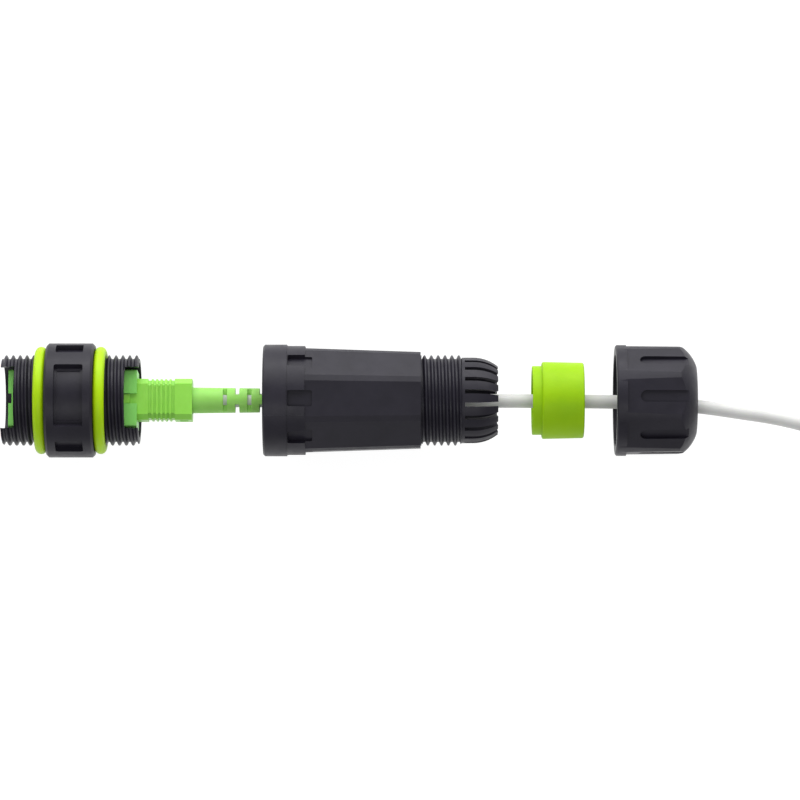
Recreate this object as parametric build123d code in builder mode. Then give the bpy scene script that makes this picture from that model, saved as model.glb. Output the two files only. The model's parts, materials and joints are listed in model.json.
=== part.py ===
from build123d import *
from math import cos, pi, radians, sin, sqrt, tan
import os

os.makedirs("parts", exist_ok=True)

# Waterproof fibre coupler laid out as an exploded line. X runs along the common axis from the
# coupler's bare left end, +Z faces up from the floor, and every size is in millimetres.

# Running clearances
slip = 0.1
thread_slack = 0.15
seat_gap = 0.25

# Coupler body
body_length = 30.0
thread_r = 9.9
neck_r = 9.2
flange_r = 12.5
flange_width = 10.5
body_bore_r = 8.2
web_width = 6.0
edge_break = 0.5
notch_width = 13.4
notch_depth = 3.0
coupler_turn = 3.5
panel_depth = 1.2
panel_corner = 0.5
label_panel_width = 6.3
label_panel_half_angle = 33.0
label_floor_depth = 1.45
label_ledge_width = 0.55
label_ledge_angle = 4.0
small_panel_width = 6.0
label_panel_angles = (0.0, 180.0)
small_panel_half_angle = 9.0
small_panel_angles = (60.0, 120.0, 240.0, 300.0)

# O-rings
o_ring_section = 2.5
o_ring_slack = 0.05

# Adapter inside the body, two halves that meet at the middle
adapter_left_length = 13.4
adapter_right_length = 14.6
adapter_y = 12.6
adapter_z = 9.3
adapter_corner = 0.5
adapter_wall_y = 1.7
adapter_wall_z = 0.85
middle_wall = 1.6
keyway_width = 2.2
left_keyway = 0.8
right_keyway = 12.1
holder_r = 2.4
holder_length = 6.3
holder_lip = 0.4
holder_lip_r = 1.45

# Alignment sleeve and ferrule
ferrule_r = 1.25
ferrule_slack = 0.01
ferrule_tip_break = 0.25
alignment_length = 11.4
alignment_wall = 0.34
alignment_float = 0.15
alignment_split = 0.4

# Latch hooks
latch_base = 0.8
latch_arm = 0.6
latch_half_width = 1.2
latch_reach = 6.2
latch_barb = 0.45
latch_barb_length = 1.0

# Plug housing; each plug_..._back is a distance behind the ferrule's tip
plug_grip_back = 3.5
grip_length = 23.1
grip_y = 9.0
grip_z = 7.4
grip_chamfer = 1.15
grip_end_wall = 2.0
grip_wall_z = 0.6
grip_bore_corner = 0.6
grip_slot_length = 6.0
grip_key_width = 2.0
grip_key_height = 0.6
grip_key_length = 9.5
plug_waist_back = 17.0
waist_length = 5.8
waist_depth = 0.35
rib_count = 5
rib_pitch = 0.975
rib_width = 0.45
rib_depth = 0.08
recess_length = 1.8
recess_width = 2.4
recess_depth = 0.4
recess_from_end = 0.9

# Plug frame and what it holds
frame_y = 6.2
frame_corner = 0.3
plug_frame_back = 2.9
frame_length = 13.6
frame_nose = 4.7
frame_bump = 0.3
frame_bump_length = 1.9
chamber_r = 2.3
chamber_shoulder = 0.6
ferrule_flange_r = 2.1
ferrule_flange_length = 2.2
ferrule_seat = 1.3
ferrule_tail_r = 0.9
ferrule_tail_length = 2.6
ferrule_tail_bore_r = 0.55
ferrule_travel = 0.8
spring_wire_r = 0.2
spring_mean_r = 1.45
spring_turns = 6
stop_collar_r = 2.95
stop_collar_length = 1.1
stop_insert = 2.5
stop_seat_depth = 1.2
stop_tail_r = 2.05
plug_stop_tail_back = 26.2
stop_bore_r = 1.05
crimp_wall = 0.33
crimp_length = 7.0

# Boot
plug_boot_back = 20.0
boot_length = 26.4
boot_front_r = 2.83
boot_end_r = 2.6
plug_boot_slot_back = 33.3
boot_slot_pitch = 2.67
boot_slot_width = 0.89
boot_slot_count = 5
boot_spine = 1.05

# Faces of the sleeve's octagon, and flats of the nut
face_count = 8

# Clamp sleeve
sleeve_left = 57.1
sleeve_length = 51.3
mouth_depth = 8.5
collar_r = 12.24
collar_length = 5.2
collar_step_r = 12.0
collar_step_length = 4.0
collar_break = 0.4
octagon_left = 11.26
octagon_right = 10.44
octagon_bevel = 11.9
octagon_turn = 0.0
pocket_start = 5.4
pocket_length = 5.4
pocket_width = 3.5
pocket_depth = 0.5
pocket_corner = 0.4
sleeve_bore_r = 7.9
sleeve_shoulder = 1.0
sleeve_shoulder_r = 6.2
seal_wall_inset = 1.6
sleeve_thread_gap = 0.2
sleeve_thread_length = 8.8
claw_length = 7.9
claw_count = 20
claw_turn = 0.8
claw_gap = 0.95
claw_r = 9.37
claw_straight = 2.5
claw_tip_r = 7.45
claw_wall = 0.87

# Gland seal
seal_gap = 7.5
seal_length = 11.3
seal_lip_r = 7.55
seal_lip_length = 2.1
seal_cup_r = 6.7
seal_cup_depth = 3.0
seal_r = 8.45
seal_end_r = 8.25
seal_edge = 0.45
seal_hole_slack = 0.1

# Gland nut
nut_gap = 6.9
nut_length = 17.7
nut_r = 12.15
nut_lip = 2.3
nut_mouth_break = 0.3
nut_flat_left = 11.6
nut_flat_right = 11.4
nut_thread_depth = 8.9
nut_end_wall = 1.0
nut_end_r = 7.6
nut_end_length = 3.8
nut_end_bulge = 0.55
nut_hole_r = 3.2
nut_slot_width = 2.5
nut_slot_start = 5.1
nut_slot_depth = 0.8
nut_turn = 2.5

# Cable and its put-away hank
cable_r = 1.5
plug_jacket_back = 26.5
buffer_r = 0.45
floor_z = -12.5
hank_left = 196.0
hank_run = 55.0
hank_inner_r = 9.0
hank_layers = 3
strand_pitch = 3.05
hank_margin = 0.1
hank_edge = 1.2
tie_places = (212.0, 235.0)
tie_thickness = 0.5
tie_width = 4.0
tie_slack = 0.05
tie_corner = 0.7

# Places worked out from the sizes above
middle = body_length / 2
grip_front = middle + plug_grip_back
grip_end = grip_front + grip_length
waist_start = middle + plug_waist_back
frame_front = middle + plug_frame_back
stop_tail_end = middle + plug_stop_tail_back
boot_front = middle + plug_boot_back
boot_end = boot_front + boot_length
boot_slot_start = middle + plug_boot_slot_back
jacket_start = middle + plug_jacket_back
flange_left = middle - flange_width / 2
thread_length = flange_left - o_ring_section
o_ring_centre_r = neck_r + o_ring_slack + o_ring_section / 2
port_floor = middle + middle_wall
port_y = adapter_y - 2 * adapter_wall_y
port_z = adapter_z - 2 * adapter_wall_z
alignment_r = ferrule_r + ferrule_slack
chamber_front = frame_front + frame_nose
flange_front = chamber_front + chamber_shoulder
flange_back = flange_front + ferrule_flange_length
frame_end = frame_front + frame_length
stop_front = frame_end - stop_insert
spring_back = stop_front + stop_seat_depth
crimp_r = stop_tail_r + crimp_wall
frame_z = grip_z - 2 * grip_wall_z - 2 * slip
grip_bore_y = frame_y + 2 * frame_bump + 3 * slip
sleeve_right = sleeve_left + sleeve_length
octagon_start = sleeve_left + collar_length + collar_step_length
claw_start = sleeve_right - claw_length
sleeve_thread_start = claw_start - sleeve_thread_length
octagon_end = sleeve_thread_start - sleeve_thread_gap
claw_bend = claw_start + claw_straight
seat_wall = sleeve_thread_start + seal_wall_inset
thread_bore_r = thread_r + thread_slack
seal_left = sleeve_right + seal_gap
seal_right = seal_left + seal_length
nut_left = seal_right + nut_gap
nut_right = nut_left + nut_length
nut_dome_start = nut_left + nut_thread_depth
face_angle = 360 / face_count
half_angle = radians(face_angle / 2)
hank_outer_r = hank_inner_r + strand_pitch
hank_right = hank_left + hank_run
hank_bottom = floor_z + tie_thickness
hank_height = 2 * cable_r + (hank_layers - 1) * strand_pitch
hank_top_z = hank_bottom + hank_height - cable_r
far_axis_y = -9.7
far_axis_z = floor_z + grip_z / 2
far_boot_end_x = hank_right + 31.7

# Points of the cable's route, chosen by hand: onto the hank's top layer, and out of its outside
run_points = [
    (jacket_start, 0.0, 0.0),
    (138.0, 0.0, 0.0),
    (152.0, -1.2, -0.4),
    (161.5, -2.6, -1.2),
    (170.0, -3.8, -2.5),
    (178.5, -5.9, -3.6),
    (187.5, -8.1, -4.2),
    (hank_left, -hank_inner_r, hank_top_z),
]
tail_points = [
    (hank_right, -hank_outer_r, hank_top_z - strand_pitch),
    (hank_right + 21.8, far_axis_y, far_axis_z),
    (far_boot_end_x + boot_end - jacket_start, far_axis_y, far_axis_z),
]


def across(x, turn=0.0):
    """Plane square to the axis at x: local X is the width, local Y the height."""
    angle = radians(turn)
    return Plane(origin=(x, 0, 0), x_dir=(0, cos(angle), -sin(angle)), z_dir=(1, 0, 0))


def outward(x, turn, reach=0.0):
    """Plane at a distance from the axis, facing out at an angle from +Z towards +Y."""
    angle = radians(turn)
    normal = Vector(0, sin(angle), cos(angle))
    return Plane(origin=Vector(x, 0, 0) + normal * reach, x_dir=(1, 0, 0), z_dir=normal)


def half_plane(turn):
    """Plane that holds the axis, with local Y pointing out at an angle from +Z towards +Y."""
    angle = radians(turn)
    return Plane(origin=(0, 0, 0), x_dir=(1, 0, 0), z_dir=(0, -cos(angle), sin(angle)))


def half_section(*corners):
    """Face between straight lines through the corners, each given as (x, radius)."""
    with BuildSketch() as face:
        with BuildLine():
            Polyline(*corners, close=True)
        make_face()
    return face.sketch


def grip_section(x, turn, inset=0.0):
    """Outline of the plug housing at x: a rectangle with its four long edges cut off."""
    with BuildSketch(across(x, turn)) as face:
        Rectangle(grip_y - 2 * inset, grip_z - 2 * inset)
        chamfer(face.vertices(), grip_chamfer)
    return face.sketch


def bevelled_octagon(x, apothem, bevel, turn):
    """Octagon across the axis at x, with its corners cut flat at the bevel's distance."""
    reach = (bevel - apothem * cos(half_angle)) / sin(half_angle)
    corners = []
    for face in range(face_count):
        angle = radians(turn + face_angle * face)
        for side in (-reach, reach):
            width = apothem * sin(angle) + side * cos(angle)
            height = apothem * cos(angle) - side * sin(angle)
            corners.append((width, height))
    with BuildSketch(across(x)) as outline:
        with BuildLine():
            Polyline(*corners, close=True)
        make_face()
    return outline.sketch


def save(name, builder):
    """Label a finished piece and write it to its file."""
    builder.part.label = name
    export_step(builder.part, f"parts/{name}.step")


def save_moved(name, builder, place):
    """Write a copy of a finished piece at another place."""
    with BuildPart() as copy:
        add(builder.part.moved(place))
    save(name, copy)


def cable_radii(points):
    """Radius of the arc at each inner point: as large as its two runs allow."""
    radii = []
    for before, here, after in zip(points, points[1:], points[2:]):
        run_in = Vector(*here) - Vector(*before)
        run_out = Vector(*after) - Vector(*here)
        half_turn = radians(run_in.get_angle(run_out)) / 2
        radii.append(0.45 * min(run_in.length, run_out.length) / tan(half_turn))
    print("cable radii", [round(radius, 1) for radius in radii])
    return radii


def build_cable(points):
    """Tube of the cable's section along straight runs joined by arcs."""
    with BuildPart() as tube:
        with BuildLine() as route:
            FilletPolyline(*points, radius=cable_radii(points))
        with BuildSketch(Plane(route.line @ 0, z_dir=route.line % 0)):
            Circle(cable_r)
        sweep(path=route.line)
    length = sum(edge.length for edge in route.edges())
    ratio = tube.part.volume / (length * pi * cable_r**2)
    print("cable length", round(length, 2), "volume ratio", round(ratio, 6))
    return tube


# Coupler body: turned outline, web that carries the adapter, end notches and flange panels
with BuildPart() as coupler_body:
    left_half = half_section(
        (0, body_bore_r),
        (0, thread_r - edge_break),
        (edge_break, thread_r),
        (thread_length, thread_r),
        (thread_length, neck_r),
        (flange_left, neck_r),
        (flange_left, flange_r - edge_break),
        (flange_left + edge_break, flange_r),
        (middle, flange_r),
        (middle, body_bore_r),
    )
    revolve(left_half, axis=Axis.X)
    mirror(about=Plane.YZ.offset(middle))
    with BuildSketch(across(middle - web_width / 2, coupler_turn)):
        Circle(body_bore_r + edge_break)
        Rectangle(adapter_y + slip, adapter_z + slip, mode=Mode.SUBTRACT)
    extrude(amount=web_width)
    for notch_x in (0, body_length - notch_depth):
        with BuildSketch(across(notch_x, coupler_turn)):
            with Locations((0, flange_r)):
                Rectangle(notch_width, 2 * flange_r)
        extrude(amount=notch_depth, mode=Mode.SUBTRACT)
    panels = []
    for angle in small_panel_angles:
        panels.append((angle, small_panel_half_angle, small_panel_width, panel_depth))
    label_floor_half_angle = label_panel_half_angle - label_ledge_angle
    label_floor_width = label_panel_width - 2 * label_ledge_width
    for angle in label_panel_angles:
        panels.append((angle, label_panel_half_angle, label_panel_width, panel_depth))
        panels.append((angle, label_floor_half_angle, label_floor_width, label_floor_depth))
    for angle, half, width, depth in panels:
        with BuildSketch(half_plane(angle + coupler_turn + half)):
            with Locations((middle, flange_r)):
                Rectangle(width, 2 * depth)
        revolve(axis=Axis.X, revolution_arc=2 * half, mode=Mode.SUBTRACT)
    panel_corners = coupler_body.edges().filter_by(GeomType.LINE).filter_by(
        lambda edge: abs(edge.length - panel_depth) < 0.01
    )
    fillet(panel_corners, panel_corner)
save("coupler_body", coupler_body)

# O-rings on the necks, against the flange
for name, ring_x in (("left", flange_left), ("right", flange_left + flange_width)):
    side = -1 if name == "left" else 1
    with BuildPart() as o_ring:
        with BuildSketch():
            with Locations((ring_x + side * o_ring_section / 2, o_ring_centre_r)):
                Circle(o_ring_section / 2)
        revolve(axis=Axis.X)
    save(f"o_ring_{name}", o_ring)


def build_adapter_half(length, keyway):
    """Right half of the adapter: port, middle wall and the tube that holds the alignment sleeve."""
    with BuildPart() as half:
        with BuildSketch(across(middle, coupler_turn)):
            RectangleRounded(adapter_y, adapter_z, adapter_corner)
        extrude(amount=length)
        with BuildSketch(across(port_floor, coupler_turn)):
            Rectangle(port_y, port_z)
        extrude(amount=length, mode=Mode.SUBTRACT)
        with BuildSketch(across(middle + length - keyway, coupler_turn)):
            with Locations((0, adapter_z / 2)):
                Rectangle(keyway_width, 2 * adapter_wall_z + slip)
        extrude(amount=keyway, mode=Mode.SUBTRACT)
        with BuildSketch(across(middle)):
            Circle(holder_r)
        extrude(amount=holder_length)
        with BuildSketch(across(middle)):
            Circle(holder_lip_r)
        extrude(amount=holder_length, mode=Mode.SUBTRACT)
        with BuildSketch(across(middle)):
            Circle(alignment_r + alignment_wall + alignment_float)
        extrude(amount=holder_length - holder_lip, mode=Mode.SUBTRACT)
    return half


# Adapter halves, the left one with only a short keyway at its mouth
adapter_shell_right = build_adapter_half(adapter_right_length, right_keyway)
save("adapter_shell_right", adapter_shell_right)
with BuildPart() as adapter_shell_left:
    mirror(build_adapter_half(adapter_left_length, left_keyway).part, about=Plane.YZ.offset(middle))
save("adapter_shell_left", adapter_shell_left)

# Latch: a base plate on the middle wall with a barbed arm on each side
with BuildPart() as latch_right:
    with BuildSketch(across(port_floor, coupler_turn)):
        Rectangle(port_y - slip, port_z - slip)
        Circle(holder_r + slip / 2, mode=Mode.SUBTRACT)
    extrude(amount=latch_base)
    arm_out = (port_y - slip) / 2
    arm_in = arm_out - latch_arm
    arm_root = port_floor + latch_base - slip
    arm_tip = port_floor + latch_base + latch_reach
    barb_foot = arm_tip - latch_barb_length
    with BuildSketch(outward(0, coupler_turn)):
        with BuildLine():
            Polyline(
                (arm_root, arm_in),
                (barb_foot, arm_in),
                (barb_foot + latch_barb / 2, arm_in - latch_barb),
                (arm_tip - latch_barb, arm_in - latch_barb),
                (arm_tip, arm_in),
                (arm_tip, arm_out),
                (arm_root, arm_out),
                close=True,
            )
        make_face()
        mirror(about=Plane(origin=(0, 0, 0), z_dir=(0, 1, 0)))
    extrude(amount=latch_half_width, both=True)
save("latch_right", latch_right)
with BuildPart() as latch_left:
    mirror(latch_right.part, about=Plane.YZ.offset(middle))
save("latch_left", latch_left)

# Split sleeve that lines the two ferrules up
with BuildPart() as alignment_sleeve:
    with BuildSketch(across(middle - alignment_length / 2)):
        Circle(alignment_r + alignment_wall)
        Circle(alignment_r, mode=Mode.SUBTRACT)
        with Locations((0, -alignment_r)):
            Rectangle(alignment_split, 2 * alignment_r, mode=Mode.SUBTRACT)
    extrude(amount=alignment_length)
save("alignment_sleeve", alignment_sleeve)


def build_frame(turn):
    """Inner housing of a plug: hollow in front, with a chamber for the spring behind."""
    with BuildPart() as frame:
        with BuildSketch(across(frame_front, turn)):
            RectangleRounded(frame_y, frame_z, frame_corner)
        extrude(amount=frame_length)
        bump_back = chamber_front - frame_bump
        bump_side = frame_y / 2
        with BuildSketch(outward(0, turn)):
            with BuildLine():
                Polyline(
                    (bump_back - frame_bump_length, bump_side - slip),
                    (bump_back - frame_bump_length + frame_bump, bump_side + frame_bump),
                    (bump_back, bump_side + frame_bump),
                    (bump_back, bump_side - slip),
                    close=True,
                )
            make_face()
            mirror(about=Plane(origin=(0, 0, 0), z_dir=(0, 1, 0)))
        extrude(amount=latch_half_width, both=True)
        with BuildSketch(across(frame_front)):
            Circle(holder_r + 2 * slip)
        extrude(amount=chamber_front - frame_front, mode=Mode.SUBTRACT)
        with BuildSketch(across(frame_front)):
            Circle(ferrule_r + seat_gap)
        extrude(amount=frame_length, mode=Mode.SUBTRACT)
        with BuildSketch(across(flange_front)):
            Circle(chamber_r)
        extrude(amount=frame_length, mode=Mode.SUBTRACT)
    return frame


def build_grip(turn):
    """Outer housing of a plug, which slides a little on the frame to release the latch."""
    with BuildPart() as grip:
        extrude(grip_section(grip_front, turn), amount=grip_end - grip_front)
        with BuildSketch(across(grip_front, turn)):
            with Locations((0, grip_z / 2)):
                Rectangle(grip_key_width, 2 * grip_key_height)
        extrude(amount=grip_key_length)
        with BuildSketch(across(grip_front, turn)):
            RectangleRounded(grip_bore_y, grip_z - 2 * grip_wall_z, grip_bore_corner)
        extrude(amount=grip_end - grip_end_wall - grip_front, mode=Mode.SUBTRACT)
        with BuildSketch(across(grip_front)):
            Circle(boot_front_r + 2 * slip)
        extrude(amount=grip_end - grip_front, mode=Mode.SUBTRACT)
        with BuildSketch(across(grip_front, turn)):
            Rectangle(2 * grip_y, 2 * latch_half_width + 4 * slip)
        extrude(amount=grip_slot_length, mode=Mode.SUBTRACT)
        extrude(grip_section(waist_start, turn), amount=waist_length, mode=Mode.SUBTRACT)
        extrude(grip_section(waist_start, turn, waist_depth), amount=waist_length)
        for rib in range(rib_count):
            rib_x = waist_start + waist_length / 2 + (rib - (rib_count - 1) / 2) * rib_pitch
            extrude(grip_section(rib_x - rib_width / 2, turn, rib_depth), amount=rib_width)
        with BuildSketch(across(grip_front, turn)):
            RectangleRounded(grip_bore_y, grip_z - 2 * grip_wall_z, grip_bore_corner)
        extrude(amount=grip_end - grip_end_wall - grip_front, mode=Mode.SUBTRACT)
        for side in (90, -90):
            recess_plane = outward(grip_end - recess_from_end - recess_length / 2, turn + side, grip_y / 2)
            with BuildSketch(recess_plane):
                Rectangle(recess_length, recess_width)
            extrude(amount=-recess_depth, mode=Mode.SUBTRACT)
    return grip


def build_ferrule():
    """Ceramic pin with a bevelled tip, at the middle of the alignment sleeve."""
    with BuildPart() as ferrule:
        end = flange_front + ferrule_seat
        outline = half_section(
            (middle, 0),
            (middle, ferrule_r - ferrule_tip_break),
            (middle + ferrule_tip_break, ferrule_r),
            (end, ferrule_r),
            (end, 0),
        )
        revolve(outline, axis=Axis.X)
    return ferrule


def build_ferrule_flange():
    """Metal collar pressed on the ferrule, with the tail that the fibre enters."""
    with BuildPart() as flange:
        seat = flange_front + ferrule_seat
        tail_end = flange_back + ferrule_tail_length
        outline = half_section(
            (flange_front, ferrule_r),
            (flange_front, ferrule_flange_r),
            (flange_back, ferrule_flange_r),
            (flange_back, ferrule_tail_r),
            (tail_end, ferrule_tail_r),
            (tail_end, ferrule_tail_bore_r),
            (seat + slip, ferrule_tail_bore_r),
            (seat + slip, 0),
            (seat, 0),
            (seat, ferrule_r),
        )
        revolve(outline, axis=Axis.X)
    return flange


def build_spring():
    """Wire spring that pushes the ferrule forwards."""
    with BuildPart() as spring:
        start = flange_back + spring_wire_r
        height = spring_back - spring_wire_r - start
        with BuildLine() as wire:
            Helix(
                pitch=height / spring_turns,
                height=height,
                radius=spring_mean_r,
                center=(start, 0, 0),
                direction=(1, 0, 0),
            )
        with BuildSketch(Plane(wire.line @ 0, z_dir=wire.line % 0)):
            Circle(spring_wire_r)
        sweep(path=wire.line, is_frenet=True)
    return spring


def build_stop_ring():
    """Metal body pressed into the frame: spring seat in front, crimping tail behind."""
    with BuildPart() as stop_ring:
        outline = half_section(
            (stop_front, spring_mean_r + 2 * spring_wire_r),
            (stop_front, chamber_r),
            (frame_end, chamber_r),
            (frame_end, stop_collar_r),
            (frame_end + stop_collar_length, stop_collar_r),
            (frame_end + stop_collar_length, stop_tail_r),
            (stop_tail_end, stop_tail_r),
            (stop_tail_end, stop_bore_r),
            (spring_back, stop_bore_r),
            (spring_back, spring_mean_r + 2 * spring_wire_r),
        )
        revolve(outline, axis=Axis.X)
    return stop_ring


def build_crimp_ring():
    """Metal ring that grips the cable's yarn on the stop ring's tail."""
    with BuildPart() as crimp_ring:
        start = stop_tail_end - crimp_length
        outline = half_section(
            (start, stop_tail_r),
            (start, crimp_r),
            (stop_tail_end, crimp_r),
            (stop_tail_end, stop_tail_r),
        )
        revolve(outline, axis=Axis.X)
    return crimp_ring


def build_buffer():
    """Coated fibre between the ferrule's tail and the end of the cable's jacket."""
    with BuildPart() as buffer:
        with BuildSketch(across(flange_back + ferrule_travel + slip)):
            Circle(buffer_r)
        extrude(amount=jacket_start - flange_back - ferrule_travel - slip)
    return buffer


def build_boot(turn):
    """Rubber strain relief, slotted by turns in front, behind and at the sides so that it bends."""
    with BuildPart() as boot:
        outline = half_section(
            (boot_front, crimp_r),
            (boot_front, boot_front_r),
            (grip_end, boot_front_r),
            (boot_end, boot_end_r),
            (boot_end, cable_r),
            (stop_tail_end, cable_r),
            (stop_tail_end, crimp_r),
        )
        revolve(outline, axis=Axis.X)
        for slot in range(boot_slot_count):
            slot_x = boot_slot_start + slot * boot_slot_pitch
            along_width = slot % 2 == 0
            with BuildSketch(across(slot_x, turn)):
                Circle(2 * boot_front_r)
                if along_width:
                    Rectangle(4 * boot_front_r, 2 * boot_spine, mode=Mode.SUBTRACT)
                else:
                    Rectangle(2 * boot_spine, 4 * boot_front_r, mode=Mode.SUBTRACT)
            extrude(amount=boot_slot_width, mode=Mode.SUBTRACT)
    return boot


# Both plugs of the lead: one in the coupler, the other lying flat beyond the hank
far_place = Location((far_boot_end_x + boot_end, far_axis_y, far_axis_z), (0, 0, 180))
round_pieces = {
    "ferrule": build_ferrule(),
    "ferrule_flange": build_ferrule_flange(),
    "spring": build_spring(),
    "stop_ring": build_stop_ring(),
    "crimp_ring": build_crimp_ring(),
    "fibre_buffer": build_buffer(),
}
for name, piece in round_pieces.items():
    save(f"plug_{name}", piece)
    save_moved(f"far_{name}", piece, far_place)
for name, build in (("frame", build_frame), ("grip", build_grip), ("boot", build_boot)):
    save(f"plug_{name}", build(coupler_turn))
    save_moved(f"far_{name}", build(0.0), far_place)

# Clamp sleeve: collar, tapered octagon, thread and a crown of claws in one moulding
with BuildPart() as clamp_sleeve:
    collar_end = sleeve_left + collar_length
    collar = half_section(
        (sleeve_left, thread_bore_r),
        (sleeve_left, collar_r - collar_break),
        (sleeve_left + collar_break, collar_r),
        (collar_end, collar_r),
        (collar_end, collar_step_r),
        (octagon_start, collar_step_r),
        (octagon_start, thread_bore_r),
    )
    revolve(collar, axis=Axis.X)
    taper = octagon_right / octagon_left
    octagon_ends = [
        bevelled_octagon(octagon_start, octagon_left, octagon_bevel, octagon_turn),
        bevelled_octagon(octagon_end, octagon_right, octagon_bevel * taper, octagon_turn),
    ]
    loft(octagon_ends, ruled=True)
    with BuildSketch(across(octagon_end - edge_break)):
        Circle(thread_r)
    extrude(amount=claw_start - octagon_end + edge_break)
    claw_arc_end = sleeve_right - claw_wall / 2
    with BuildSketch():
        with BuildLine():
            base = Line((claw_start - edge_break, claw_r), (claw_bend, claw_r))
            outer = TangentArc(base @ 1, (sleeve_right, claw_tip_r), tangent=(1, 0))
            tip = Line(outer @ 1, (claw_arc_end, claw_tip_r - claw_wall))
            inner = TangentArc((claw_bend, claw_r - claw_wall), tip @ 1, tangent=(1, 0))
            root = Line(inner @ 0, (claw_start - edge_break, claw_r - claw_wall))
            Line(root @ 1, base @ 0)
        make_face()
    revolve(axis=Axis.X)
    with BuildSketch():
        with BuildLine():
            Polyline(
                (sleeve_left, 0),
                (sleeve_left, thread_bore_r),
                (sleeve_left + mouth_depth, thread_bore_r),
                (sleeve_left + mouth_depth, sleeve_bore_r),
                (seat_wall - sleeve_shoulder, sleeve_bore_r),
                (seat_wall - sleeve_shoulder, sleeve_shoulder_r),
                (seat_wall, sleeve_shoulder_r),
                (seat_wall, claw_r - claw_wall),
                (claw_start, claw_r - claw_wall),
                (claw_start, 0),
                close=True,
            )
        make_face()
    revolve(axis=Axis.X, mode=Mode.SUBTRACT)
    pocket_x = sleeve_left + pocket_start + pocket_length / 2
    for face in range(face_count):
        pocket_turn = octagon_turn + face_angle * face
        with BuildSketch(outward(pocket_x, pocket_turn, octagon_left - pocket_depth)):
            RectangleRounded(pocket_length, pocket_width, pocket_corner)
        extrude(amount=pocket_width, mode=Mode.SUBTRACT)
    slot_centre = (claw_start + claw_straight / 4 + sleeve_right + claw_gap) / 2
    slot_span = sleeve_right + claw_gap - claw_start - claw_straight / 4
    for claw in range(claw_count):
        with BuildSketch(outward(slot_centre, claw_turn + 360 * (claw + 0.5) / claw_count)):
            Rectangle(slot_span, claw_gap)
        extrude(amount=2 * claw_r, mode=Mode.SUBTRACT)
save("clamp_sleeve", clamp_sleeve)

# Gland seal: a rubber plug on the cable, hollow towards the sleeve
with BuildPart() as gland_seal:
    lip_end = seal_left + seal_lip_length
    cup_floor = seal_left + seal_cup_depth
    hole_r = cable_r + seal_hole_slack
    seal_outline = half_section(
        (seal_left, seal_cup_r),
        (seal_left, seal_lip_r),
        (lip_end, seal_lip_r),
        (lip_end, seal_r),
        (seal_right, seal_end_r),
        (seal_right, hole_r),
        (cup_floor, hole_r),
        (cup_floor, seal_cup_r),
    )
    revolve(seal_outline, axis=Axis.X)
    rims = gland_seal.edges().filter_by(GeomType.CIRCLE)
    rounded = rims.filter_by(lambda edge: edge.radius > seal_end_r - 0.01)
    fillet(rounded, seal_edge)
save("gland_seal", gland_seal)

# Gland nut: domed inside over the claws, with eight flats and a slot in each
with BuildPart() as gland_nut:
    with BuildSketch():
        with BuildLine():
            side = Polyline(
                (nut_right, 0),
                (nut_left, 0),
                (nut_left, nut_r - nut_mouth_break),
                (nut_left + nut_mouth_break, nut_r),
                (nut_right - nut_end_length, nut_r),
            )
            shoulder = SagittaArc(side @ 1, (nut_right, nut_end_r), nut_end_bulge)
            Line(shoulder @ 1, side @ 0)
        make_face()
    revolve(axis=Axis.X)
    flats_start = nut_left + nut_lip
    for face in range(face_count):
        turn = nut_turn + face_angle * face
        with BuildSketch(half_plane(turn)):
            with BuildLine():
                Polyline(
                    (flats_start, nut_flat_left),
                    (nut_right, nut_flat_right),
                    (nut_right, 2 * nut_r),
                    (flats_start, 2 * nut_r),
                    close=True,
                )
            make_face()
        extrude(amount=nut_r, both=True, mode=Mode.SUBTRACT)
        slot_floor = nut_flat_left - nut_slot_depth
        slot_left = nut_left + nut_slot_start + nut_slot_width / 2
        slot_length = nut_right - slot_left
        with BuildSketch(outward(slot_left, turn, slot_floor)):
            Circle(nut_slot_width / 2)
            with Locations((slot_length / 2, 0)):
                Rectangle(slot_length, nut_slot_width)
        extrude(amount=nut_r, mode=Mode.SUBTRACT)
    wall_left = nut_right - nut_end_wall
    dome_bend = nut_left + claw_bend - sleeve_thread_start - sleeve_thread_gap + slip
    dome_r = claw_r + seat_gap
    claw_drop = claw_r - claw_tip_r
    claw_run = sleeve_right - claw_bend
    dome_arc_r = (claw_run**2 + claw_drop**2) / (2 * claw_drop) + seat_gap
    dome_run = wall_left - dome_bend
    dome_end_r = dome_r - dome_arc_r + sqrt(dome_arc_r**2 - dome_run**2)
    with BuildSketch():
        with BuildLine():
            mouth = Polyline(
                (nut_left, 0),
                (nut_left, thread_bore_r),
                (nut_dome_start, thread_bore_r),
                (nut_dome_start, dome_r),
                (dome_bend, dome_r),
            )
            dome = TangentArc((dome_bend, dome_r), (wall_left, dome_end_r), tangent=(1, 0))
            hole = Polyline(dome @ 1, (wall_left, nut_hole_r), (nut_right, nut_hole_r), (nut_right, 0))
            Line(hole @ 1, mouth @ 0)
        make_face()
    revolve(axis=Axis.X, mode=Mode.SUBTRACT)
save("gland_nut", gland_nut)

# Cable: the run from the plug to the hank, and the tail from the hank to the far plug
save("cable_run", build_cable(run_points))
save("cable_tail", build_cable(tail_points))

# Hank: one long ring that holds all the turns
ring_in = hank_inner_r - cable_r - hank_margin
ring_out = hank_outer_r + cable_r + hank_margin
with BuildPart() as cable_hank:
    with BuildSketch(Plane.XY.offset(hank_bottom)):
        with Locations(((hank_left + hank_right) / 2, 0)):
            SlotCenterToCenter(hank_run, 2 * ring_out)
            SlotCenterToCenter(hank_run, 2 * ring_in, mode=Mode.SUBTRACT)
    extrude(amount=hank_height)
    fillet(cable_hank.faces().filter_by(Axis.Z).edges(), hank_edge)
save("cable_hank", cable_hank)

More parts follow.
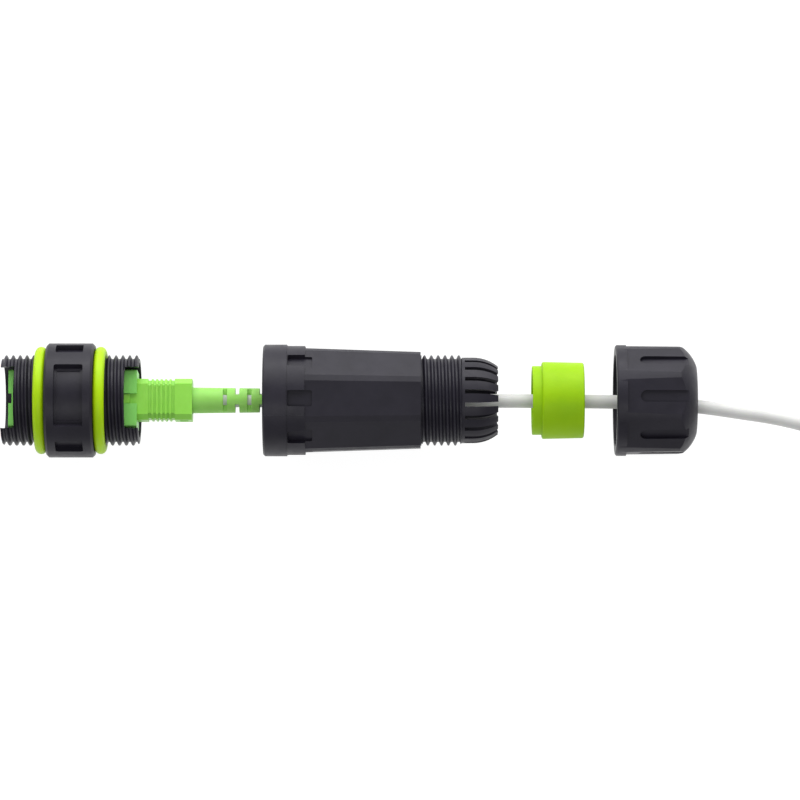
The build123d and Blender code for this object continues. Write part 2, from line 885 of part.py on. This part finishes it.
# Straps round the hank, which hold it just off the floor
for name, tie_x in zip(("near", "far"), tie_places):
    with BuildPart() as hank_tie:
        centre = (tie_x - tie_width / 2, 0, hank_bottom + hank_height / 2)
        with BuildSketch(Plane(origin=centre, x_dir=(0, 1, 0), z_dir=(1, 0, 0))):
            hole_width = 2 * (ring_out + tie_slack)
            outer_size = (hole_width + 2 * tie_thickness, hank_height + 2 * tie_thickness)
            RectangleRounded(*outer_size, tie_corner + tie_thickness)
            RectangleRounded(hole_width, hank_height, tie_corner, mode=Mode.SUBTRACT)
        extrude(amount=tie_width)
    save(f"hank_tie_{name}", hank_tie)
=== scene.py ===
import bpy
import bmesh
import json
from math import cos, floor, pi, radians, sin, tan
from mathutils import Matrix, Vector


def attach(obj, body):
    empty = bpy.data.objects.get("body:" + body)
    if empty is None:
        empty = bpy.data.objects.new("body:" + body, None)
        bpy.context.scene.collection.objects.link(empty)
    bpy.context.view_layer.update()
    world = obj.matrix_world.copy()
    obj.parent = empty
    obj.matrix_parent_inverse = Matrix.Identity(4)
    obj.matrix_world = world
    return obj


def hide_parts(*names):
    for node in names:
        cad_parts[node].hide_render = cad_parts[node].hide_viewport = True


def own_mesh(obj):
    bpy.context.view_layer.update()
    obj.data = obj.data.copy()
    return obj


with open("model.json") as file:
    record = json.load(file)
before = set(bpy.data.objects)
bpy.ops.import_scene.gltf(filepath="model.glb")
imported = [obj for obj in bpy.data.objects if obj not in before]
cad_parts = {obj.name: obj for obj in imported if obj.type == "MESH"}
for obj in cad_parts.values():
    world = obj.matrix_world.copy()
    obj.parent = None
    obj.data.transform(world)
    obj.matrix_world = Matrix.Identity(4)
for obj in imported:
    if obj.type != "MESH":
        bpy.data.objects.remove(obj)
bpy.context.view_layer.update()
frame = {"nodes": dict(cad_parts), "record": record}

# Lengths are in metres where nothing else is said, and MM turns millimetres into metres
MM = 0.001

# Camera, looking down on the line from slightly in front of it
CAMERA_X = 87.0 * MM
CAMERA_Y = 0.1 * MM
CAMERA_REACH = 1040.0 * MM
CAMERA_TILT = 2.5
CAMERA_LENS = 213.7
SENSOR_WIDTH = 36.0
CLIP_START = 0.01
CLIP_END = 20.0
FLOOR_Z = -12.5 * MM
FLOOR_SIZE = 6.0

# Angles between faces, in degrees, from which an edge shows, is rounded, or is sharp on a thread
CREASE = 17.0
SQUARE = 38.0
THREAD_CREASE = 40.0

# Vertices nearer than this are one, and a cutter reaches this far past what it cuts
WELD_DISTANCE = 2e-6
CUT_REACH = 1.0 * MM

# Coupler and all threads; the three bore radii are those of a thread inside a mouth
BODY_LENGTH = 30.0 * MM
THREAD_CREST = 9.9 * MM
THREAD_ROOT = 9.1 * MM
THREAD_LENGTH = 7.25 * MM
THREAD_PITCH = 1.5 * MM
THREAD_BREAK = 0.5 * MM
BORE_ROOT = 10.02 * MM
BORE_CREST = 9.35 * MM
BORE_BACK = 10.3 * MM
BODY_BORE = 8.2 * MM
NOTCH_WIDTH = 13.4 * MM
NOTCH_DEPTH = 3.0 * MM
NOTCH_HEIGHT = 15.0 * MM
COUPLER_TURN = 3.5

# Clamp sleeve's thread, with the core that its plain cylinder is cut back to
SLEEVE_THREAD_START = 91.7 * MM
SLEEVE_THREAD_END = 100.5 * MM
SLEEVE_CORE = THREAD_ROOT - 0.2 * MM
SLEEVE_THREAD_BACK = THREAD_ROOT - 0.3 * MM

# Threads inside the mouths, and how far each is turned so that it meshes when the line is closed
SLEEVE_MOUTH = (57.7 * MM, 65.2 * MM)
SLEEVE_MOUTH_PHASE = 0.2933
NUT_MOUTH = (134.7 * MM, 142.6 * MM)
NUT_MOUTH_PHASE = -0.3733
OUTER_STEPS = 144
INNER_STEPS = 96

# Parting line of the sleeve's collar and of the step behind it
COLLAR_R = 12.24 * MM
COLLAR_STEP_R = 12.0 * MM
COLLAR_SEAM = (57.6 * MM, 62.2 * MM)
STEP_SEAM = (62.3 * MM, 66.3 * MM)
SEAM_TURN = -18.0
SEAM_WIDTH = 0.18 * MM
SEAM_HEIGHT = 0.07 * MM

# Cable, with its points in millimetres before and after the hank
CABLE_R = 1.5 * MM
CABLE_START = (
    (41.5, 0.0, 0.0), (138.0, 0.0, 0.0), (152.0, -1.2, -0.4), (161.5, -2.6, -1.2),
    (170.0, -3.8, -2.5), (178.5, -5.9, -3.6), (187.5, -8.1, -4.2),
)
CABLE_END = ((272.8, -9.7, -8.8), (302.6, -9.7, -8.8))
HANK_LEFT = 196.0 * MM
HANK_RIGHT = 251.0 * MM
HANK_INNER = 9.0 * MM
HANK_LOW = -10.5 * MM
STRAND_PITCH = 3.05 * MM
INNER_TURNS = 3
ARC_POINTS = 6
SHIFT_END = 0.8

# Fineness of the materials' patterns, in waves for each metre
CLOUD_SCALE = 140.0
PATCH_SCALE = 420.0
TARNISH_SCALE = 600.0
TURNING_SCALE = 2200.0
WEAVE_SCALE = 2500.0


def put(name, data):
    """Object in the scene with that data."""
    made = bpy.data.objects.new(name, data)
    bpy.context.scene.collection.objects.link(made)
    return made


def mesh_object(name, vertices, faces):
    """Mesh from vertices and faces, with doubled vertices merged."""
    mesh = bpy.data.meshes.new(name)
    mesh.from_pydata([tuple(v) for v in vertices], [], faces)
    made = put(name, mesh)
    weld(made)
    return made


def weld(made):
    """Merge doubled vertices and make all faces point outwards."""
    work = bmesh.new()
    work.from_mesh(made.data)
    bmesh.ops.remove_doubles(work, verts=work.verts, dist=WELD_DISTANCE)
    bmesh.ops.dissolve_degenerate(work, edges=work.edges, dist=WELD_DISTANCE)
    bmesh.ops.recalc_face_normals(work, faces=work.faces)
    work.to_mesh(made.data)
    work.free()


def apply_modifiers(made):
    """Turn the object's modifiers into its mesh."""
    graph = bpy.context.evaluated_depsgraph_get()
    finished = bpy.data.meshes.new_from_object(made.evaluated_get(graph))
    made.modifiers.clear()
    old = made.data
    made.data = finished
    bpy.data.meshes.remove(old)


def cut(made, cutter):
    """Take a cutter off the object, and delete the cutter."""
    boolean = made.modifiers.new("cut", "BOOLEAN")
    boolean.operation = "DIFFERENCE"
    boolean.object = cutter
    boolean.solver = "EXACT"
    apply_modifiers(made)
    bpy.data.objects.remove(cutter)


def corner_normal(face, corner, fresh):
    """Shading normal of a face at a corner, led by the moulding's own faces, not its roundings."""
    around = [other for other in corner.link_faces if other not in fresh]
    if not around:
        return sum((other.normal for other in corner.link_faces), Vector()).normalized()
    if face in fresh:
        face = max(around, key=lambda other: other.normal.dot(face.normal))
    level = cos(radians(CREASE))
    total = Vector()
    for other in around:
        if other.normal.dot(face.normal) > level:
            total += other.normal * other.calc_area()
    return total.normalized() if total.length else face.normal.copy()


def shade_moulding(made, rounded):
    """Round the square edges by a small width, keep slighter ones crisp and smooth the rest."""
    work = bmesh.new()
    work.from_mesh(made.data)
    fresh = set()
    if rounded:
        square = [edge for edge in work.edges if edge.calc_face_angle(0.0) > radians(SQUARE)]
        result = bmesh.ops.bevel(
            work, geom=square, offset=rounded, segments=2, profile=0.5, affect="EDGES",
            clamp_overlap=True, miter_outer="ARC",
        )
        fresh = set(result["faces"])
    work.normal_update()
    for edge in work.edges:
        edge.smooth = True
    normals = []
    for face in work.faces:
        face.smooth = True
        normals += [corner_normal(face, corner, fresh) for corner in face.verts]
    work.to_mesh(made.data)
    work.free()
    made.data.normals_split_custom_set(normals)


def body_of_node(node):
    """Name of the CAD body that holds a node."""
    for body, members in frame["record"]["behaviour"]["bodies"].items():
        if node in members:
            return body
    raise ValueError(node)


def dress(node, material, edge=0.0, changes=None):
    """Copy of a CAD node with rounded edges and its material, which stands for the node."""
    made = put(node + "_dressed", frame["nodes"][node].data.copy())
    weld(made)
    if changes:
        changes(made)
    shade_moulding(made, edge)
    made.data.materials.clear()
    made.data.materials.append(material)
    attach(made, body_of_node(node))
    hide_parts(node)
    return made


def box_cutter(low, high, turn=0.0):
    """Box between two corners, turned about the X axis from +Z towards +Y."""
    corners = [(x, y, z) for x in (low[0], high[0]) for y in (low[1], high[1])
               for z in (low[2], high[2])]
    rotation = Matrix.Rotation(-radians(turn), 3, "X")
    faces = [(0, 1, 3, 2), (4, 6, 7, 5), (0, 4, 5, 1), (2, 3, 7, 6), (0, 2, 6, 4), (1, 5, 7, 3)]
    return mesh_object("cutter", [rotation @ Vector(corner) for corner in corners], faces)


def turned_ring(name, outline, steps=128):
    """Closed ring turned about the X axis from an outline of (x, radius) points."""
    count = len(outline)
    vertices = []
    faces = []
    for step in range(steps):
        angle = 2 * pi * step / steps
        vertices += [(x, r * cos(angle), r * sin(angle)) for x, r in outline]
        following = (step + 1) % steps
        for i in range(count):
            j = (i + 1) % count
            here = step * count
            there = following * count
            faces.append((here + i, there + i, there + j, here + j))
    return mesh_object(name, vertices, faces)


def thread_profile(inside):
    """Heights over one pitch of a rounded thread, as (share of the pitch, share of the depth)."""
    if inside:
        return (
            (0.14, 0.0), (0.20, 0.06), (0.28, 0.35), (0.38, 0.8), (0.44, 1.0),
            (0.56, 1.0), (0.62, 0.8), (0.72, 0.35), (0.80, 0.06), (0.86, 0.0),
        )
    return (
        (0.0, 0.0), (0.17, 0.0), (0.21, 0.04), (0.25, 0.14), (0.36, 0.62),
        (0.42, 0.84), (0.47, 0.96), (0.52, 1.0), (0.60, 1.0), (0.65, 0.96),
        (0.70, 0.84), (0.76, 0.62), (0.87, 0.14), (0.91, 0.04), (0.95, 0.0),
    )


def thread(name, start, end, back, phase=0.0, breaks=(True, True), inside=False, steps=OUTER_STEPS):
    """Tube with a real helical right-hand thread between two places on the axis.

    back is the radius of its plain side, which an outer thread goes round and an inner one lies in.
    breaks says at which ends the crest runs out in a chamfer.
    """
    rest = BORE_ROOT if inside else THREAD_ROOT
    depth = BORE_ROOT - BORE_CREST if inside else THREAD_CREST - THREAD_ROOT
    first = floor(start / THREAD_PITCH) - 2
    last = floor(end / THREAD_PITCH) + 2
    vertices = []
    columns = []
    for step in range(steps + 1):
        share = step / steps
        angle = 2 * pi * share
        column = []
        for turn in range(first, last + 1):
            for part, height in thread_profile(inside):
                x = (turn + part + share + phase) * THREAD_PITCH
                place = min(max(x, start), end)
                limit = depth
                if breaks[0]:
                    limit = min(limit, depth - THREAD_BREAK + (place - start))
                if breaks[1]:
                    limit = min(limit, depth - THREAD_BREAK + (end - place))
                if x < start or x > end:
                    height = 0.0
                lift = min(depth * height, limit)
                radius = rest - lift if inside else rest + lift
                column.append(len(vertices))
                vertices.append((place, radius * cos(angle), radius * sin(angle)))
        plain = []
        for x in (start, end):
            plain.append(len(vertices))
            vertices.append((x, back * cos(angle), back * sin(angle)))
        columns.append([plain[0]] + column + [plain[1]])
    faces = []
    for here, there in zip(columns, columns[1:]):
        for i in range(len(here)):
            j = (i + 1) % len(here)
            faces.append((here[i], there[i], there[j], here[j]))
    return mesh_object(name, vertices, faces)


def finish_black(piece, body):
    """Make an added piece black and let it ride on its body."""
    piece.data.materials.append(BLACK)
    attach(piece, body)


def finish_thread(piece, body):
    """Shade a thread, with its square edges sharp, and finish it."""
    for face in piece.data.polygons:
        face.use_smooth = True
    piece.data.set_sharp_from_angle(angle=radians(THREAD_CREASE))
    finish_black(piece, body)


# Materials


def new_material(name):
    """Material with its nodes, its links and the shader."""
    material = bpy.data.materials.new(name)
    material.use_nodes = True
    nodes = material.node_tree.nodes
    shader = nodes["Principled BSDF"]
    return material, nodes, material.node_tree.links, shader


def noise(nodes, links, place, scale, detail=4.0, roughness=0.55):
    """Noise texture in object coordinates; scale is in waves for each metre."""
    texture = nodes.new("ShaderNodeTexNoise")
    texture.inputs["Scale"].default_value = scale
    texture.inputs["Detail"].default_value = detail
    texture.inputs["Roughness"].default_value = roughness
    links.new(place, texture.inputs["Vector"])
    return texture.outputs["Fac"]


def spread(nodes, links, value, low, high):
    """Map a noise from its middle range onto low and high."""
    ramp = nodes.new("ShaderNodeMapRange")
    ramp.inputs["From Min"].default_value = 0.3
    ramp.inputs["From Max"].default_value = 0.7
    ramp.inputs["To Min"].default_value = low
    ramp.inputs["To Max"].default_value = high
    links.new(value, ramp.inputs["Value"])
    return ramp.outputs["Result"]


def colour_between(nodes, links, share, first, second):
    """Mix of two colours by a share."""
    mix = nodes.new("ShaderNodeMix")
    mix.data_type = "RGBA"
    mix.inputs["A"].default_value = (*first, 1.0)
    mix.inputs["B"].default_value = (*second, 1.0)
    links.new(share, mix.inputs["Factor"])
    return mix.outputs["Result"]


def moulded(name, dark, light, rough, grain, grain_size, specular=0.5, subsurface=0.0):
    """Moulded plastic or rubber: cloudy colour, fine grain and uneven gloss.

    grain is the strength of the surface's relief and grain_size its size in millimetres.
    """
    material, nodes, links, shader = new_material(name)
    place = nodes.new("ShaderNodeTexCoord").outputs["Object"]
    clouds = noise(nodes, links, place, CLOUD_SCALE, 3.0)
    tint = spread(nodes, links, clouds, 0.0, 1.0)
    links.new(colour_between(nodes, links, tint, dark, light), shader.inputs["Base Color"])
    patches = noise(nodes, links, place, PATCH_SCALE, 5.0, 0.65)
    links.new(spread(nodes, links, patches, rough[0], rough[1]), shader.inputs["Roughness"])
    fine = noise(nodes, links, place, 1 / (grain_size * MM), 3.0, 0.6)
    bump = nodes.new("ShaderNodeBump")
    bump.inputs["Strength"].default_value = grain
    bump.inputs["Distance"].default_value = 0.02 * MM
    links.new(fine, bump.inputs["Height"])
    links.new(bump.outputs["Normal"], shader.inputs["Normal"])
    shader.inputs["Specular IOR Level"].default_value = specular
    if subsurface:
        shader.inputs["Subsurface Weight"].default_value = subsurface
        shader.inputs["Subsurface Radius"].default_value = (0.6, 1.0, 0.25)
        shader.inputs["Subsurface Scale"].default_value = 1.2 * MM
    return material


def metal(name, colour, rough):
    """Turned and plated metal with fine rings round the axis."""
    material, nodes, links, shader = new_material(name)
    place = nodes.new("ShaderNodeTexCoord").outputs["Object"]
    rings = nodes.new("ShaderNodeTexWave")
    rings.wave_type = "BANDS"
    rings.bands_direction = "X"
    rings.inputs["Scale"].default_value = TURNING_SCALE
    rings.inputs["Distortion"].default_value = 1.5
    links.new(place, rings.inputs["Vector"])
    bump = nodes.new("ShaderNodeBump")
    bump.inputs["Strength"].default_value = 0.25
    bump.inputs["Distance"].default_value = 0.01 * MM
    links.new(rings.outputs["Fac"], bump.inputs["Height"])
    links.new(bump.outputs["Normal"], shader.inputs["Normal"])
    cloud = noise(nodes, links, place, TARNISH_SCALE)
    links.new(spread(nodes, links, cloud, rough - 0.06, rough + 0.08), shader.inputs["Roughness"])
    dark = tuple(0.85 * c for c in colour)
    tint = spread(nodes, links, cloud, 0.0, 1.0)
    links.new(colour_between(nodes, links, tint, dark, colour), shader.inputs["Base Color"])
    shader.inputs["Metallic"].default_value = 1.0
    return material


def woven(name, colour):
    """Narrow woven strap."""
    material, nodes, links, shader = new_material(name)
    place = nodes.new("ShaderNodeTexCoord").outputs["Object"]
    weave = nodes.new("ShaderNodeTexChecker")
    weave.inputs["Scale"].default_value = WEAVE_SCALE
    links.new(place, weave.inputs["Vector"])
    bump = nodes.new("ShaderNodeBump")
    bump.inputs["Strength"].default_value = 0.6
    bump.inputs["Distance"].default_value = 0.05 * MM
    links.new(weave.outputs["Fac"], bump.inputs["Height"])
    links.new(bump.outputs["Normal"], shader.inputs["Normal"])
    light = tuple(1.8 * c for c in colour)
    tint = colour_between(nodes, links, weave.outputs["Fac"], colour, light)
    links.new(tint, shader.inputs["Base Color"])
    shader.inputs["Roughness"].default_value = 0.85
    return material


BLACK = moulded(
    "black_nylon", dark=(0.0120, 0.0110, 0.0168), light=(0.0175, 0.0160, 0.0240), rough=(0.34, 0.48),
    grain=0.25, grain_size=0.16, specular=0.22,
)
O_RING = moulded(
    "o_ring_rubber", dark=(0.33, 0.56, 0.0), light=(0.38, 0.62, 0.001), rough=(0.40, 0.52),
    grain=0.10, grain_size=0.3, specular=0.2, subsurface=0.2,
)
SEAL = moulded(
    "seal_rubber", dark=(0.235, 0.45, 0.0), light=(0.275, 0.50, 0.001), rough=(0.46, 0.60),
    grain=0.20, grain_size=0.3, specular=0.16, subsurface=0.2,
)
ADAPTER = moulded(
    "adapter_green", dark=(0.185, 0.56, 0.10), light=(0.22, 0.62, 0.12), rough=(0.32, 0.44),
    grain=0.12, grain_size=0.25, specular=0.4, subsurface=0.1,
)
PLUG = moulded(
    "plug_green", dark=(0.225, 0.57, 0.055), light=(0.265, 0.64, 0.08), rough=(0.32, 0.44),
    grain=0.12, grain_size=0.25, specular=0.4, subsurface=0.15,
)
BOOT = moulded(
    "boot_green", dark=(0.235, 0.54, 0.09), light=(0.275, 0.60, 0.12), rough=(0.42, 0.58),
    grain=0.2, grain_size=0.25, specular=0.3, subsurface=0.2,
)
LATCH = moulded(
    "latch_white", dark=(0.66, 0.67, 0.64), light=(0.74, 0.75, 0.72), rough=(0.35, 0.5),
    grain=0.1, grain_size=0.3,
)
FRAME = moulded(
    "frame_white", dark=(0.72, 0.72, 0.69), light=(0.80, 0.80, 0.77), rough=(0.32, 0.45),
    grain=0.1, grain_size=0.3,
)
CERAMIC = moulded(
    "ceramic", dark=(0.84, 0.83, 0.79), light=(0.90, 0.89, 0.86), rough=(0.12, 0.2),
    grain=0.03, grain_size=0.2, specular=0.7, subsurface=0.2,
)
BUFFER = moulded(
    "buffer_plastic", dark=(0.80, 0.79, 0.74), light=(0.88, 0.87, 0.83), rough=(0.4, 0.55),
    grain=0.1, grain_size=0.2,
)
JACKET = moulded(
    "cable_jacket", dark=(0.54, 0.54, 0.525), light=(0.61, 0.61, 0.595), rough=(0.38, 0.52),
    grain=0.15, grain_size=0.3, specular=0.3, subsurface=0.05,
)
PLATED = metal("plated_metal", (0.72, 0.70, 0.66), 0.30)
SPRING = metal("spring_steel", (0.62, 0.62, 0.60), 0.35)
STRAP = woven("tie_black", (0.022, 0.022, 0.024))


# Camera


def make_camera():
    """Camera above the line, with the picture's frame."""
    data = bpy.data.cameras.new("view")
    data.lens = CAMERA_LENS
    data.sensor_width = SENSOR_WIDTH
    data.clip_start = CLIP_START
    data.clip_end = CLIP_END
    camera = put("camera", data)
    tilt = radians(CAMERA_TILT)
    camera.location = (CAMERA_X, CAMERA_Y - CAMERA_REACH * sin(tilt), CAMERA_REACH * cos(tilt))
    camera.rotation_euler = (tilt, 0.0, 0.0)
    bpy.context.scene.camera = camera


make_camera()


# Cable on one smooth line, from inside the plug's boot to inside the far plug's boot


def hank_turn(radius, rises, steps_out, last=False):
    """One turn of the hank: along the near side, round, back along the far side, round again.

    rises gives the height at the near side, along the far side's end and after the last bend.
    steps_out is how far the last bend moves outwards.
    """
    low, far_high, high = rises
    arc_step = pi / ARC_POINTS
    reach = radius / cos(arc_step / 2)
    inset = radius * tan(arc_step / 2)
    middle = (HANK_LEFT + HANK_RIGHT) / 2
    points = [(x, -radius, low) for x in (HANK_LEFT + inset, middle, HANK_RIGHT - inset)]
    if last:
        return points
    for i in range(ARC_POINTS):
        angle = -pi / 2 + arc_step * (i + 0.5)
        points.append((HANK_RIGHT + reach * cos(angle), reach * sin(angle), low))
    points.append((HANK_RIGHT - inset, radius, low))
    points.append((middle, radius, (low + far_high) / 2))
    points.append((HANK_LEFT + inset, radius, far_high))
    for i in range(ARC_POINTS):
        share = (i + 0.5) / ARC_POINTS
        angle = pi / 2 + pi * share
        shift = pi / 2 * min(share / SHIFT_END, 1.0)
        out = reach + steps_out * sin(shift) / cos(arc_step / 2)
        z = far_high + (high - far_high) * (1 - cos(shift))
        points.append((HANK_LEFT + out * cos(angle), out * sin(angle), z))
    return points


def hank_points():
    """Inner column of turns from the top down, then a turn round its foot and the way out."""
    points = []
    for turn in range(INNER_TURNS - 1):
        here = HANK_LOW + STRAND_PITCH * (INNER_TURNS - 1 - turn)
        points += hank_turn(HANK_INNER, (here, here, here - STRAND_PITCH), 0.0)
    points += hank_turn(HANK_INNER, (HANK_LOW, HANK_LOW, HANK_LOW), STRAND_PITCH)
    outer = HANK_INNER + STRAND_PITCH
    above = HANK_LOW + STRAND_PITCH
    points += hank_turn(outer, (HANK_LOW, above, above), 0.0)
    points += hank_turn(outer, (above, above, above), 0.0, last=True)
    return points


def make_cable():
    """The whole cable as one curve."""
    points = [tuple(c * MM for c in point) for point in CABLE_START]
    points += hank_points()
    points += [tuple(c * MM for c in point) for point in CABLE_END]
    curve = bpy.data.curves.new("cable", "CURVE")
    curve.dimensions = "3D"
    curve.bevel_depth = CABLE_R
    curve.bevel_resolution = 6
    curve.resolution_u = 6
    curve.use_fill_caps = True
    spline = curve.splines.new("NURBS")
    spline.points.add(len(points) - 1)
    for target, point in zip(spline.points, points):
        target.co = (*point, 1.0)
    spline.use_endpoint_u = True
    spline.order_u = 3
    cable = put("cable", curve)
    curve.materials.append(JACKET)
    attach(cable, "lead")
    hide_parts("cable_run", "cable_hank", "cable_tail")
    return cable, points


cable, cable_points = make_cable()


# Coupler


def coupler_changes(made):
    """Take the plain crest cylinders off the copy, because the threads replace them."""
    outer = THREAD_CREST + CUT_REACH
    inner = BODY_BORE - CUT_REACH
    left = (-CUT_REACH, THREAD_LENGTH)
    right = (BODY_LENGTH - THREAD_LENGTH, BODY_LENGTH + CUT_REACH)
    for start, end in (left, right):
        cut(made, turned_ring("cutter", [(start, inner), (start, outer), (end, outer), (end, inner)]))


dress("coupler_body", BLACK, 0.22 * MM, coupler_changes)

for side, start, end, breaks in (
    ("left", 0.0, THREAD_LENGTH, (True, False)),
    ("right", BODY_LENGTH - THREAD_LENGTH, BODY_LENGTH, (False, True)),
):
    piece = thread("coupler_thread_" + side, start, end, BODY_BORE, breaks=breaks)
    notch_start = -CUT_REACH if side == "left" else BODY_LENGTH - NOTCH_DEPTH
    notch_end = NOTCH_DEPTH if side == "left" else BODY_LENGTH + CUT_REACH
    low = (notch_start, -NOTCH_WIDTH / 2, 0.0)
    high = (notch_end, NOTCH_WIDTH / 2, NOTCH_HEIGHT)
    cut(piece, box_cutter(low, high, COUPLER_TURN))
    finish_thread(piece, "coupler")


# Clamp sleeve


def sleeve_changes(made):
    """Take the plain crest cylinder off the copy, because the thread replaces it."""
    outline = [
        (SLEEVE_THREAD_START, SLEEVE_CORE),
        (SLEEVE_THREAD_START, THREAD_CREST + CUT_REACH),
        (SLEEVE_THREAD_END, THREAD_CREST + CUT_REACH),
        (SLEEVE_THREAD_END, SLEEVE_CORE),
    ]
    cut(made, turned_ring("cutter", outline))


dress("clamp_sleeve", BLACK, 0.2 * MM, sleeve_changes)
sleeve_thread = thread("sleeve_thread", SLEEVE_THREAD_START, SLEEVE_THREAD_END, SLEEVE_THREAD_BACK)
finish_thread(sleeve_thread, "sleeve")

for name, span, phase, body in (
    ("sleeve_mouth_thread", SLEEVE_MOUTH, SLEEVE_MOUTH_PHASE, "sleeve"),
    ("nut_mouth_thread", NUT_MOUTH, NUT_MOUTH_PHASE, "nut"),
):
    piece = thread(name, *span, BORE_BACK, phase, breaks=(True, False), inside=True, steps=INNER_STEPS)
    finish_thread(piece, body)


def seam(name, span, radius, turn):
    """Fine parting line of the moulding, a low ridge along the axis."""
    half = SEAM_WIDTH / 2
    foot = radius - SEAM_HEIGHT
    outline = [(-half, foot), (0.0, radius + SEAM_HEIGHT), (half, foot)]
    rotation = Matrix.Rotation(-radians(turn), 3, "X")
    vertices = [rotation @ Vector((x, y, z)) for x in span for y, z in outline]
    faces = [(0, 1, 2), (5, 4, 3), (0, 3, 4, 1), (1, 4, 5, 2), (2, 5, 3, 0)]
    finish_black(mesh_object(name, vertices, faces), "sleeve")


for side, turn in (("front", SEAM_TURN), ("back", SEAM_TURN + 180.0)):
    seam("sleeve_seam_" + side, COLLAR_SEAM, COLLAR_R, turn)
    seam("sleeve_step_seam_" + side, STEP_SEAM, COLLAR_STEP_R, turn)


# Nut, seal, rings and what the coupler holds, with the roundings of their edges in millimetres

for node, material, edge in (
    ("gland_nut", BLACK, 0.2),
    ("gland_seal", SEAL, 0.15),
    ("o_ring_left", O_RING, 0.0),
    ("o_ring_right", O_RING, 0.0),
    ("adapter_shell_left", ADAPTER, 0.12),
    ("adapter_shell_right", ADAPTER, 0.12),
    ("latch_left", LATCH, 0.06),
    ("latch_right", LATCH, 0.06),
    ("alignment_sleeve", CERAMIC, 0.04),
):
    dress(node, material, edge * MM)


# The two plugs, with the roundings of their edges in millimetres

PLUG_PIECES = (
    ("grip", PLUG, 0.10),
    ("frame", FRAME, 0.06),
    ("boot", BOOT, 0.08),
    ("ferrule", CERAMIC, 0.03),
    ("ferrule_flange", PLATED, 0.05),
    ("spring", SPRING, 0.0),
    ("stop_ring", PLATED, 0.05),
    ("crimp_ring", PLATED, 0.04),
    ("fibre_buffer", BUFFER, 0.0),
)


def dress_plug(plug):
    """Pieces of one plug, with the spring given a mesh of its own."""
    made = {name: dress(plug + "_" + name, material, edge * MM) for name, material, edge in PLUG_PIECES}
    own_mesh(made["spring"])
    return list(made.values())


dress_plug("plug")
far_pieces = dress_plug("far")
ties = [dress("hank_tie_near", STRAP, 0.08 * MM), dress("hank_tie_far", STRAP, 0.08 * MM)]


# Floor and light


def make_floor():
    """Pale floor under the part."""
    half = FLOOR_SIZE / 2
    corners = [(-half, -half), (half, -half), (half, half), (-half, half)]
    made = mesh_object("floor", [(x, y, FLOOR_Z) for x, y in corners], [(0, 1, 2, 3)])
    material, nodes, links, shader = new_material("floor_paper")
    shader.inputs["Base Color"].default_value = (0.25, 0.25, 0.25, 1.0)
    shader.inputs["Emission Color"].default_value = (1.0, 1.0, 1.0, 1.0)
    shader.inputs["Emission Strength"].default_value = 0.88
    shader.inputs["Roughness"].default_value = 0.9
    shader.inputs["Specular IOR Level"].default_value = 0.1
    made.data.materials.append(material)


def area_light(name, place, target, size, energy):
    """Soft box that faces a point; its size is in metres and its energy in watts."""
    data = bpy.data.lights.new(name, "AREA")
    data.shape = "RECTANGLE"
    data.size = size[0]
    data.size_y = size[1]
    data.energy = energy
    lamp = put(name, data)
    lamp.location = place
    lamp.rotation_euler = (Vector(target) - Vector(place)).to_track_quat("-Z", "Y").to_euler()


make_floor()
MIDDLE = (CAMERA_X, 0.0, 0.0)
area_light("key", (CAMERA_X, 0.65, 0.40), MIDDLE, (1.4, 0.6), 6.5)
area_light("strip", (CAMERA_X, 0.24, 0.045), MIDDLE, (0.7, 0.11), 0.7)
area_light("fill", (CAMERA_X, -0.45, 1.15), MIDDLE, (1.0, 0.5), 3.4)
world = bpy.data.worlds.new("studio")
world.use_nodes = True
world.node_tree.nodes["Background"].inputs["Color"].default_value = (0.9, 0.9, 0.92, 1.0)
world.node_tree.nodes["Background"].inputs["Strength"].default_value = 0.5
bpy.context.scene.world = world
bpy.context.scene.view_settings.view_transform = "Standard"
